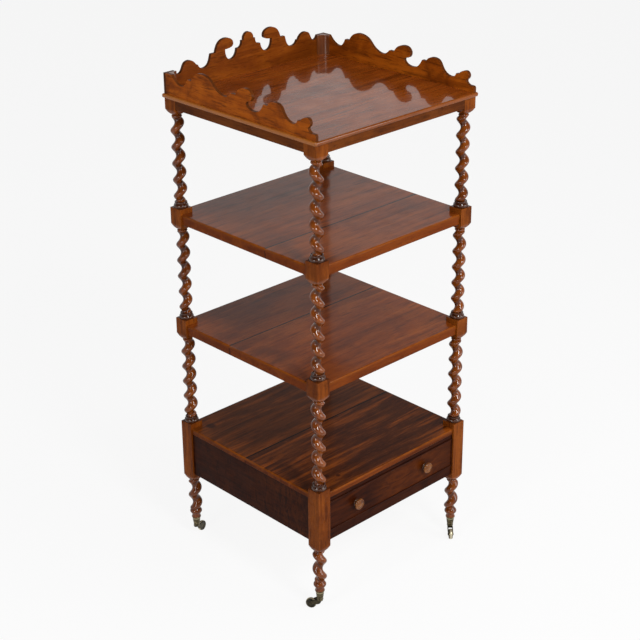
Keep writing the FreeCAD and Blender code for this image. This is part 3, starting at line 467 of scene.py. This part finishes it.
def sectionRings(section, hand, start, pitch):
    foot = section["foot"]
    low, high = section["block"]
    rings = []
    if section["name"] == "_leg":
        pegLow, pegHigh, pegRadius = turning["peg"]
        rings += [roundRing(pegLow, pegRadius), roundRing(pegHigh, pegRadius)]
        rings += [roundRing(z, radius) for z, radius in turning["foot"]]
        ropeLow = foot - turning["lap"]
    else:
        rings += [roundRing(foot + z, radius) for z, radius in turning["base"]]
        ropeLow = foot + turning["baseTall"]
    bead = low - turning["collarDrop"]
    rings += ropeRings(ropeLow, bead + turning["lap"], start, hand, pitch, turning[section["oval"]])
    rings += [roundRing(bead + z, radius) for z, radius in turning["collar"]]
    half = turning["half"]
    shoulder = low - turning["shoulderDrop"]
    rings += [squareRing(shoulder + z, radius, half) for z, radius in turning["shoulder"]]
    rings += [squareRing(high - turning["arris"], turning["blockRadius"], half)]
    rings += [squareRing(high, turning["crownRadius"], half - turning["arris"])]
    return rings


# The side walls between neighbouring rings, and a cap at each end
def ringFaces(rows, count):
    faces = [tuple(reversed(range(count)))]
    for row in range(rows - 1):
        low = row * count
        for k in range(count):
            after = (k + 1) % count
            faces.append((low + k, low + after, low + count + after, low + count + k))
    faces.append(tuple(range((rows - 1) * count, rows * count)))
    return faces


def turnPost(corner, number):
    section = sections[number]
    name = corner + section["name"]
    node = nodes[name]
    hand, starts = twists[corner]
    rings = sectionRings(section, hand, starts[number], pitches[number])
    across, along = turning["centre"]
    centreX = across if "right" in corner else -across
    centreY = along if "back" in corner else -along
    points = [((x + centreX) / 1000, (y + centreY) / 1000, z / 1000) for ring in rings for x, y, z in ring]
    mesh = bpy.data.meshes.new(name + "_turning")
    mesh.from_pydata(points, [], ringFaces(len(rings), turning["points"]))
    mesh.polygons.foreach_set("use_smooth", [True] * len(mesh.polygons))
    mesh.set_sharp_from_angle(angle=math.radians(turning["creases"]))
    made = bpy.data.objects.new(name + "_turned", mesh)
    bpy.context.scene.collection.objects.link(made)
    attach(made, body_of(node)[0])
    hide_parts(node.name)
    return made


# Orange brown polish on the posts, darker in the grooves and round the beads

post = dict(
    shelf, deep=(0.024, 0.0046, 0.0009), dark=(0.060, 0.0119, 0.0016), middle=(0.148, 0.0330, 0.0037),
    light=(0.232, 0.0581, 0.0065), warm=(0.264, 0.0693, 0.0070), grain="z", rough=0.26, coatRough=0.07,
    bands=4.5, cloud=14, wave=0.05, relief=0.12, ropeCoat=0.55, ringCoat=0.7, blockCoat=0.03,
    grooveTone=(0.018, 0.0040, 0.0012), ringTone=(0.022, 0.0075, 0.0040))
blockTops = [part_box("front_left" + section["name"])[1].z for section in sections]
blockHeights = (0.157, 0.042, 0.042, 0.027)
ringHeight = 0.0155


# Darker where the turning lies close to the axis of its post, in the grooves, and dark old polish on beads
# and tori
def postExtra(r, here, tone):
    low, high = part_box("front_left_leg")
    across = abs((low.x + high.x) / 2)
    along = abs((low.y + high.y) / 2)
    x = r.calc("SUBTRACT", r.calc("ABSOLUTE", r.axes(here)["X"]), across)
    y = r.calc("SUBTRACT", r.calc("ABSOLUTE", r.axes(here)["Y"]), along)
    radius = r.calc("SQRT", r.calc("ADD", r.calc("MULTIPLY", x, x), r.calc("MULTIPLY", y, y)))
    hollow = r.span(radius, 0.0062, 0.0092, 0.7, 0)
    tone = r.mix(hollow, tone, post["grooveTone"])
    height = r.axes(here)["Z"]
    blocks = 0.0
    rings = 0.0
    for top, tall in zip(blockTops, blockHeights):
        blocks = r.calc("ADD", r.between(height, top - tall, top - 0.0005, 0.0008), blocks)
        rings = r.calc("ADD", r.between(height, top, top + ringHeight, 0.001), rings)
    tone = r.mix(r.calc("MULTIPLY", rings, 0.8), tone, post["ringTone"])
    shine = r.calc("ADD", post["ropeCoat"], r.calc("MULTIPLY", blocks, post["blockCoat"] - post["ropeCoat"]))
    shine = r.calc("ADD", shine, r.calc("MULTIPLY", rings, post["ringCoat"] - post["ropeCoat"]))
    r.join(shine, r.shader.inputs["Coat Weight"])
    return tone


postWood = wood("postWood", post, postExtra)
for corner in corners:
    for number in range(len(sections)):
        turned = turnPost(corner, number)
        turned.data.materials.append(postWood)
print("posts turned")

# Case: dark red brown panels with a flame figure, brighter in one patch near the front of the drawer as a
# painted highlight

case = dict(
    shelf, deep=(0.006, 0.0010, 0.0003), dark=(0.011, 0.0017, 0.0004), middle=(0.024, 0.0039, 0.0007),
    light=(0.042, 0.0082, 0.0011), warm=(0.063, 0.0136, 0.0015), figure=2.2, bands=2.6, coatRough=0.2,
    rough=0.42, cloud=8, glow=0.35, coat=0.03)
flameHighlight = {"colour": (0.085, 0.0180, 0.0018), "spot": (0.035, -0.2475, 0.262), "reach": 0.085}


def sideExtra(r, here, tone):
    mottle = r.noise(r.mapped(here, (3, 6, 2)), 14, 5, 0.65, 1.2)
    towards = r.span(r.axes(here)["Y"], 0.05, -0.21, 0.1, 0.75)
    tone = r.mix(r.calc("MULTIPLY", r.span(mottle, 0.44, 0.66), towards), tone, case["warm"])
    return r.mix(r.span(mottle, 0.46, 0.30, 0, 0.8), tone, case["deep"])


def frontExtra(r, here, tone):
    flame = r.noise(r.mapped(here, (1.4, 1, 5)), 8, 5, 0.6, 2.4)
    # painted highlight: the flame figure is brighter in one patch around a spot on the drawer front
    patch = r.nearPoint(r.mapped(here, (0.5, 1, 1)), flameHighlight["spot"], flameHighlight["reach"])
    share = r.calc("MULTIPLY", r.span(flame, 0.34, 0.70, 0.25, 0.9), patch)
    return r.mix(share, tone, flameHighlight["colour"])


caseSideWood = wood("caseSideWood", dict(case, grain="y"), sideExtra)
dress(["left_case_side", "right_case_side"], caseSideWood)
dress(["case_back", "drawer_rail", "case_top_rail"], wood("caseWood", dict(case, grain="x")))
drawerLook = dict(case, grain="x", middle=(0.034, 0.0058, 0.0008), light=(0.058, 0.0115, 0.0013))
dress(["drawer_front"], wood("drawerFrontWood", drawerLook, frontExtra))
beadLook = dict(case, grain="x", middle=(0.022, 0.0036, 0.0008), light=(0.036, 0.0070, 0.0010))
dress(["cock_bead"], wood("cockBeadWood", beadLook))
easeEdges(["left_case_side", "right_case_side", "drawer_rail", "case_top_rail"], 0.0005)

knob = dict(
    post, middle=(0.161, 0.0508, 0.0084), light=(0.252, 0.0930, 0.0180), warm=(0.280, 0.1023, 0.0180),
    grain="y", cloud=40, bands=8, behind=(0.030, 0.0080, 0.0020))


def knobExtra(r, here, tone):
    low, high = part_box("left_knob")
    # painted shade: the back of the knob, towards the drawer front, is darker
    behind = r.span(r.axes(here)["Y"], low.y + 0.0042, low.y + 0.0075, 0, 0.85)
    return r.mix(behind, tone, knob["behind"])


dress(["left_knob", "right_knob"], wood("knobWood", knob, knobExtra))

# Bare inner timber of the drawer and the case

lining = dict(
    shelf, deep=(0.120, 0.0650, 0.0300), dark=(0.180, 0.1050, 0.0520), middle=(0.280, 0.1750, 0.0950),
    light=(0.360, 0.2400, 0.1350), warm=(0.330, 0.2100, 0.1150), grain="y", rough=0.6, coat=0.0)
dress(["drawer_runners", "drawer_kickers", "drawer_stops", "drawer_left_side", "drawer_right_side",
       "drawer_back", "drawer_bottom"], wood("liningWood", lining))

# Casters: old brass, olive brown in the hollows and worn bright on the tread

brass = {
    "dark": (0.030, 0.0230, 0.0100),
    "middle": (0.110, 0.0850, 0.0400),
    "light": (0.300, 0.2500, 0.1400),
    "tread": (0.620, 0.5600, 0.4000),
    "grime": (0.012, 0.0110, 0.0080)}


def oldBrass(name, extra=None, metal=0.8):
    r = Recipe(name)
    here = r.position()
    patches = r.noise(here, 170, 5, 0.62)
    tone = r.ramp(patches, (0.34, brass["dark"]), (0.52, brass["middle"]), (0.72, brass["light"]))
    if extra:
        tone = extra(r, here, tone)
    r.join(tone, r.shader.inputs["Base Color"])
    r.shader.inputs["Metallic"].default_value = metal
    r.join(r.span(patches, 0.3, 0.7, 0.5, 0.28), r.shader.inputs["Roughness"])
    r.join(r.bump(patches, 0.25, 0.0002), r.shader.inputs["Normal"])
    return r.material


def cupExtra(r, here, tone):
    low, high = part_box("front_left_caster_cup")
    tone = r.mix(r.nearPlane(here, "Z", high.z - 0.0052, 0.0026), tone, brass["light"])
    for level in (high.z - 0.0032, high.z - 0.0085, low.z + 0.0040):
        tone = r.mix(r.nearPlane(here, "Z", level, 0.0009), tone, brass["grime"])
    return tone


def wheelExtra(axle):
    def worn(r, here, tone):
        turned = r.add("ShaderNodeVectorMath", operation="DOT_PRODUCT")
        r.join(r.facing(), turned.inputs[0])
        turned.inputs[1].default_value = axle
        side = r.calc("ABSOLUTE", turned.outputs["Value"])
        tone = r.mix(r.span(side, 0.55, 0.9, 0, 0.9), tone, brass["grime"])
        return r.mix(r.span(side, 0.45, 0.2, 0, 0.85), tone, brass["tread"])
    return worn


dress([corner + "_caster_cup" for corner in corners], oldBrass("cupBrass", cupExtra))
hornLook = oldBrass("hornBrass", lambda r, here, tone: r.mix(0.6, tone, brass["grime"]))
dress([corner + "_caster_horn" for corner in corners], hornLook)
axles = {joint["child"]: joint["axis"] for joint in frame["record"]["behaviour"]["joints"]}
for corner in corners:
    wheelMaterial = oldBrass(corner + "WheelBrass", wheelExtra(axles[corner + "_wheel"]), 0.7)
    dress([corner + "_caster_wheel"], wheelMaterial)
print("pieces dressed")


# Studio: pale floor, soft lamps and a plain surround, bright at the horizon and dim overhead

studio = {
    "floorSize": 16.0,
    "floorColour": 0.80,
    "floorGlow": 0.90,
    "surroundLight": 0.45,
    "surround": ((0.0, 0.97), (0.285, 0.95), (0.358, 0.74), (0.423, 0.50), (0.485, 0.20),
                 (0.62, 0.07), (1.0, 0.07))}

lamps = (
    {"name": "frontLamp", "spot": (1.7, -3.5, 1.7), "aim": (0, 0, 0.7), "size": (2.2, 2.0), "power": 84},
    {"name": "windowLeft", "spot": (-3.4, -0.35, 1.9), "aim": (0, 0, 0.8), "size": (0.34, 1.2), "power": 21},
    {"name": "windowRight", "spot": (-3.3, -0.95, 1.9), "aim": (0, 0, 0.8), "size": (0.34, 1.2), "power": 21},
    {"name": "keyLamp", "spot": (-0.7, -3.0, 3.4), "aim": (0, 0, 0.8), "size": (0.9, 0.9), "power": 84},
    {"name": "topLamp", "spot": (0.4, -0.3, 3.7), "aim": (0, 0, 1.2), "size": (1.8, 1.8), "power": 22})


def makeFloor():
    half = studio["floorSize"] / 2
    mesh = bpy.data.meshes.new("floor")
    rim = [(-half, -half, 0), (half, -half, 0), (half, half, 0), (-half, half, 0)]
    mesh.from_pydata(rim, [], [(0, 1, 2, 3)])
    floor = bpy.data.objects.new("floor", mesh)
    bpy.context.scene.collection.objects.link(floor)
    r = Recipe("floorPaper")
    grey = studio["floorColour"]
    r.shader.inputs["Base Color"].default_value = (grey, grey, grey, 1)
    r.shader.inputs["Roughness"].default_value = 0.9
    glow = r.add("ShaderNodeEmission")
    path = r.add("ShaderNodeLightPath")
    blend = r.add("ShaderNodeMixShader")
    seen = r.calc("MAXIMUM", path.outputs["Is Camera Ray"], path.outputs["Is Glossy Ray"])
    seen = r.calc("MAXIMUM", seen, path.outputs["Is Transmission Ray"])
    share = r.calc("MULTIPLY", seen, studio["floorGlow"])
    r.join(share, blend.inputs[0])
    r.join(r.shader.outputs[0], blend.inputs[1])
    r.join(glow.outputs[0], blend.inputs[2])
    r.join(blend.outputs[0], r.tree.nodes["Material Output"].inputs[0])
    mesh.materials.append(r.material)


def makeLamp(lamp):
    data = bpy.data.lights.new(lamp["name"], "AREA")
    data.shape = "RECTANGLE"
    data.size, data.size_y = lamp["size"]
    data.energy = lamp["power"]
    holder = bpy.data.objects.new(lamp["name"], data)
    bpy.context.scene.collection.objects.link(holder)
    holder.location = lamp["spot"]
    holder.rotation_euler = (Vector(lamp["aim"]) - Vector(lamp["spot"])).to_track_quat("-Z", "Y").to_euler()


def makeWorld():
    world = bpy.data.worlds.new("surround")
    bpy.context.scene.world = world
    world.use_nodes = True
    tree = world.node_tree
    soft = tree.nodes["Background"]
    way = tree.nodes.new("ShaderNodeTexCoord")
    parts = tree.nodes.new("ShaderNodeSeparateXYZ")
    band = tree.nodes.new("ShaderNodeValToRGB")
    stops = band.color_ramp
    while len(stops.elements) < len(studio["surround"]):
        stops.elements.new(0.5)
    for element, (height, level) in zip(stops.elements, studio["surround"]):
        element.position = height
        element.color = (level, level, level, 1)
    tree.links.new(way.outputs["Generated"], parts.inputs[0])
    tree.links.new(parts.outputs["Z"], band.inputs["Fac"])
    tree.links.new(band.outputs["Color"], soft.inputs["Color"])
    path = tree.nodes.new("ShaderNodeLightPath")
    seen = tree.nodes.new("ShaderNodeMath")
    seen.operation = "MAXIMUM"
    tree.links.new(path.outputs["Is Camera Ray"], seen.inputs[0])
    tree.links.new(path.outputs["Is Glossy Ray"], seen.inputs[1])
    through = tree.nodes.new("ShaderNodeMath")
    through.operation = "MAXIMUM"
    tree.links.new(seen.outputs[0], through.inputs[0])
    tree.links.new(path.outputs["Is Transmission Ray"], through.inputs[1])
    level = tree.nodes.new("ShaderNodeMapRange")
    level.inputs["To Min"].default_value = studio["surroundLight"]
    level.inputs["To Max"].default_value = 1
    tree.links.new(through.outputs[0], level.inputs["Value"])
    tree.links.new(level.outputs["Result"], soft.inputs["Strength"])


makeFloor()
makeWorld()
for lamp in lamps:
    makeLamp(lamp)


# Camera: the viewpoint of the reference picture

view = {
    "azimuth": -43.7054,
    "elevation": 25.0188,
    "roll": -0.47686,
    "lens": 85.589,
    "sensor": 36,
    "near": 0.1,
    "far": 60,
    "place": (-2.3483, -2.4511, 2.2048)}


def makeCamera():
    data = bpy.data.cameras.new("camera")
    data.lens = view["lens"]
    data.sensor_width = view["sensor"]
    data.clip_start = view["near"]
    data.clip_end = view["far"]
    camera = bpy.data.objects.new("camera", data)
    bpy.context.scene.collection.objects.link(camera)
    a = math.radians(view["azimuth"])
    e = math.radians(view["elevation"])
    roll = math.radians(view["roll"])
    back = Vector((math.sin(a) * math.cos(e), -math.cos(a) * math.cos(e), math.sin(e)))
    right = Vector((math.cos(a), math.sin(a), 0))
    up = back.cross(right)
    across = right * math.cos(roll) + up * math.sin(roll)
    upward = up * math.cos(roll) - right * math.sin(roll)
    turn = Matrix((across, upward, back)).transposed()
    camera.matrix_world = Matrix.Translation(view["place"]) @ turn.to_4x4()
    bpy.context.scene.camera = camera


makeCamera()
bpy.context.scene.view_settings.view_transform = "Standard"
print("studio made")
